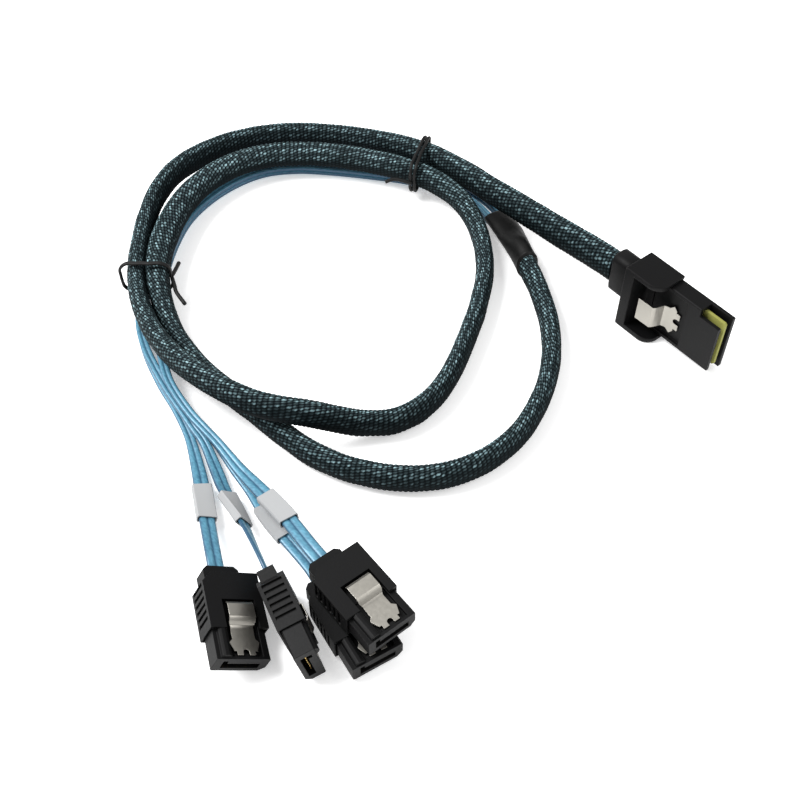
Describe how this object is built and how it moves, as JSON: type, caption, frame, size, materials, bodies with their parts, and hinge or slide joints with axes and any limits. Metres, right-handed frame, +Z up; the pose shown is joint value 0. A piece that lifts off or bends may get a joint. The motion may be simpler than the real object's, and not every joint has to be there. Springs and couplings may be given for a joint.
{
  "type": "mini SAS to four SATA breakout cable",
  "caption": "Breakout cable with one latched 36-way plug, a braided sleeve in two turns and four flat ribbons ending in latched 7-way plugs.",
  "frame": {"origin": "on the floor, midway between the outer faces of the five plugs", "axes": "+Z up; the cable lies as in the picture, +X to its right and +Y away from the viewer"},
  "size_m": [0.1958, 0.2286, 0.0248],
  "materials": {
    "plug_black": "matt black, lightly grained",
    "boot_black": "matt black, softer grain",
    "card": "yellow-green board edge",
    "latch_metal": "nickel sheet, satin",
    "contact_gold": "gold-plated springs",
    "braid": "dark teal-black braid with fine pale specks",
    "shrink": "matt black shrink tube",
    "ribbon": "metallic light blue jacket",
    "label": "white paper",
    "tie": "black plastic-covered wire"
  },
  "bodies": {
    "cable": {"mini_sas_nose": "plug_black", "mini_sas_housing": "plug_black", "sata_1_nose": "plug_black", "sata_2_nose": "plug_black", "sata_3_nose": "plug_black", "sata_4_nose": "plug_black", "mini_sas_paddle_card": "card", "mini_sas_neck": "boot_black", "sata_1_boot": "boot_black", "sata_2_boot": "boot_black", "sata_3_boot": "boot_black", "sata_4_boot": "boot_black", "sata_1_contacts": "contact_gold", "sata_2_contacts": "contact_gold", "sata_3_contacts": "contact_gold", "sata_4_contacts": "contact_gold", "braided_sleeve": "braid", "heat_shrink": "shrink", "ribbon_1": "ribbon", "ribbon_2": "ribbon", "ribbon_3": "ribbon", "ribbon_4": "ribbon", "label_1": "label", "label_2": "label", "label_3": "label", "label_4": "label", "twist_tie_top": "tie", "twist_tie_left": "tie"},
    "wide_latch": {"mini_sas_latch": "latch_metal"},
    "latch_1": {"sata_1_latch": "latch_metal"},
    "latch_2": {"sata_2_latch": "latch_metal"},
    "latch_3": {"sata_3_latch": "latch_metal"},
    "latch_4": {"sata_4_latch": "latch_metal"}
  },
  "joints": [
    {"name": "wide_latch_press", "type": "hinge", "parent": "cable", "child": "wide_latch", "pos_m": [0.06495, 0.04631, 0.0112], "axis": [0, 0, -1], "range_deg": [0, 6], "stiffness_Nm_per_rad": 0.05},
    {"name": "latch_1_press", "type": "hinge", "parent": "cable", "child": "latch_1", "pos_m": [-0.06248, -0.06785, 0.00894], "axis": [-0.8432, -0.2386, 0.4818], "range_deg": [0, 5], "stiffness_Nm_per_rad": 0.05},
    {"name": "latch_2_press", "type": "hinge", "parent": "cable", "child": "latch_2", "pos_m": [-0.04437, -0.06827, 0.00816], "axis": [-0.1567, -0.0748, 0.9848], "range_deg": [0, 5], "stiffness_Nm_per_rad": 0.05},
    {"name": "latch_3_press", "type": "hinge", "parent": "cable", "child": "latch_3", "pos_m": [-0.02568, -0.06223, 0.01515], "axis": [-0.7848, -0.6198, 0], "range_deg": [0, 5], "stiffness_Nm_per_rad": 0.05},
    {"name": "latch_4_press", "type": "hinge", "parent": "cable", "child": "latch_4", "pos_m": [-0.02919, -0.06544, 0.00625], "axis": [-0.8572, -0.515, 0], "range_deg": [0, 5], "stiffness_Nm_per_rad": 0.05}
  ]
}
